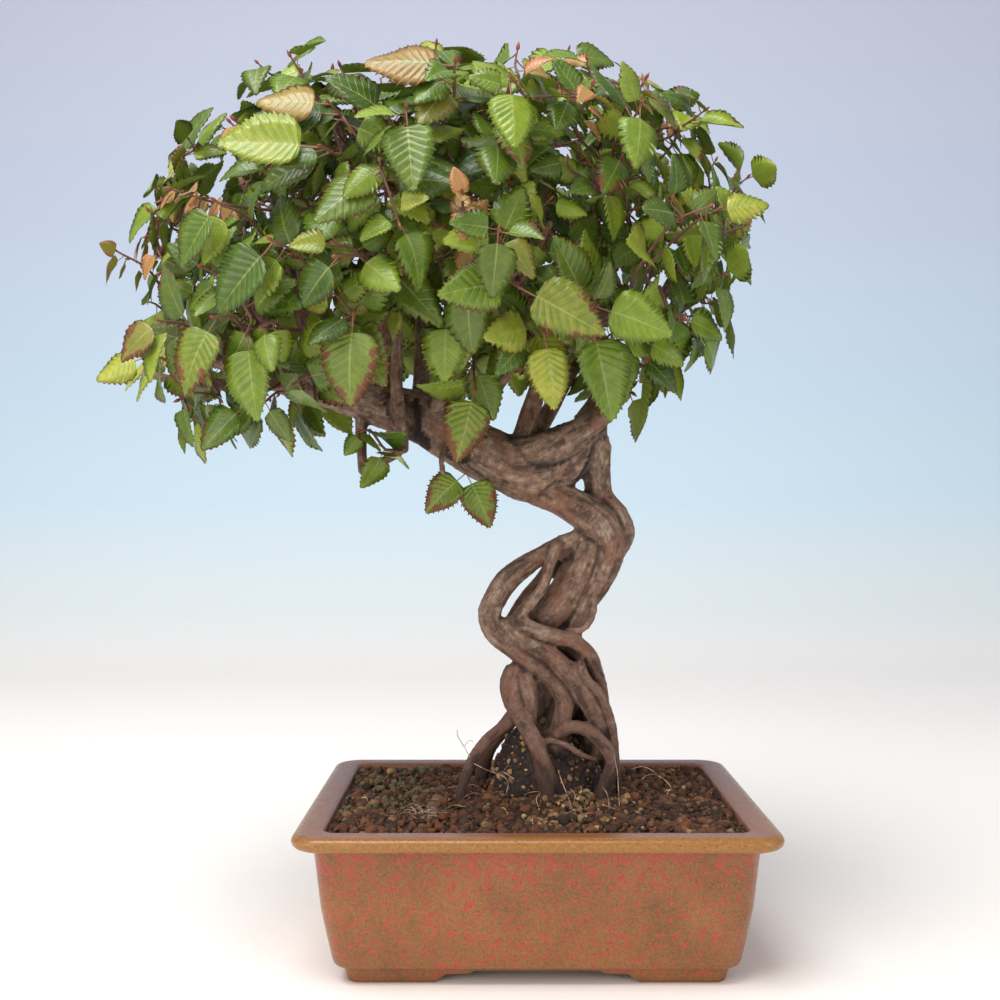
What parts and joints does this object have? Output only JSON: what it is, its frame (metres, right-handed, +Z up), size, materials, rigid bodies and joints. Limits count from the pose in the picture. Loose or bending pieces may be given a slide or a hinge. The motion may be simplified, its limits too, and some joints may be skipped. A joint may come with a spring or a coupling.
{
  "type": "korean hornbeam bonsai in a glazed rectangular pot",
  "caption": "Small hornbeam tree with a twisted trunk of fused roots, a low limb and a broad leafy crown, planted in soil in a rectangular glazed pot on feet.",
  "frame": {"origin": "middle of the whole plant's footprint box, on the surface that the pot's feet stand on", "axes": "+Z up, +X to the right of the front view, along the pot's long side, +Y away from the viewer"},
  "size_m": [0.3032, 0.2494, 0.4217],
  "materials": {
    "speckled_glaze": "semi-gloss ochre brown glaze with dense rose red speckle",
    "akadama_soil": "matt dark brown clay granules",
    "drain_mesh_plastic": "matt black moulded plastic",
    "grey_brown_bark": "rough grey brown bark with reddish patches and pale worn ridges",
    "hornbeam_leaf": "glossy pleated green leaf, some with scorched brown edges",
    "young_copper_leaf": "soft satin copper young leaf"
  },
  "bodies": {
    "root": {"drain_mesh_left": "drain_mesh_plastic", "drain_mesh_right": "drain_mesh_plastic", "leafy_spray_01": "hornbeam_leaf", "leafy_spray_02": "hornbeam_leaf", "leafy_spray_03": "hornbeam_leaf", "leafy_spray_04": "hornbeam_leaf", "leafy_spray_05": "hornbeam_leaf", "leafy_spray_06": "hornbeam_leaf", "leafy_spray_07": "hornbeam_leaf", "leafy_spray_08": "hornbeam_leaf", "leafy_spray_09": "hornbeam_leaf", "leafy_spray_10": "hornbeam_leaf", "leafy_spray_11": "hornbeam_leaf", "leafy_spray_12": "hornbeam_leaf", "leafy_spray_13": "hornbeam_leaf", "leafy_spray_14": "hornbeam_leaf", "leafy_spray_15": "hornbeam_leaf", "leafy_spray_16": "hornbeam_leaf", "leafy_spray_17": "hornbeam_leaf", "leafy_spray_18": "hornbeam_leaf", "leafy_spray_19": "hornbeam_leaf", "leafy_spray_20": "hornbeam_leaf", "leafy_spray_21": "hornbeam_leaf", "leafy_spray_22": "hornbeam_leaf", "leafy_spray_23": "hornbeam_leaf", "leafy_spray_24": "hornbeam_leaf", "leafy_spray_25": "hornbeam_leaf", "leafy_spray_26": "hornbeam_leaf", "leafy_spray_27": "hornbeam_leaf", "leafy_spray_28": "hornbeam_leaf", "leafy_spray_29": "hornbeam_leaf", "leafy_spray_30": "hornbeam_leaf", "leafy_spray_31": "hornbeam_leaf", "leafy_spray_32": "hornbeam_leaf", "leafy_spray_33": "hornbeam_leaf", "leafy_spray_34": "hornbeam_leaf", "leafy_spray_35": "hornbeam_leaf", "leafy_spray_36": "hornbeam_leaf", "leafy_spray_37": "hornbeam_leaf", "leafy_spray_38": "hornbeam_leaf", "leafy_spray_39": "hornbeam_leaf", "leafy_spray_40": "hornbeam_leaf", "leafy_spray_41": "hornbeam_leaf", "leafy_spray_42": "hornbeam_leaf", "leafy_spray_43": "hornbeam_leaf", "leafy_spray_44": "hornbeam_leaf", "leafy_spray_45": "hornbeam_leaf", "leafy_spray_46": "hornbeam_leaf", "pot": "speckled_glaze", "roots_trunk_and_limbs": "grey_brown_bark", "soil": "akadama_soil", "young_shoot_01": "young_copper_leaf", "young_shoot_02": "young_copper_leaf", "young_shoot_03": "young_copper_leaf", "young_shoot_04": "young_copper_leaf", "young_shoot_05": "young_copper_leaf", "young_shoot_06": "young_copper_leaf", "young_shoot_07": "young_copper_leaf", "young_shoot_08": "young_copper_leaf"}
  },
  "joints": []
}
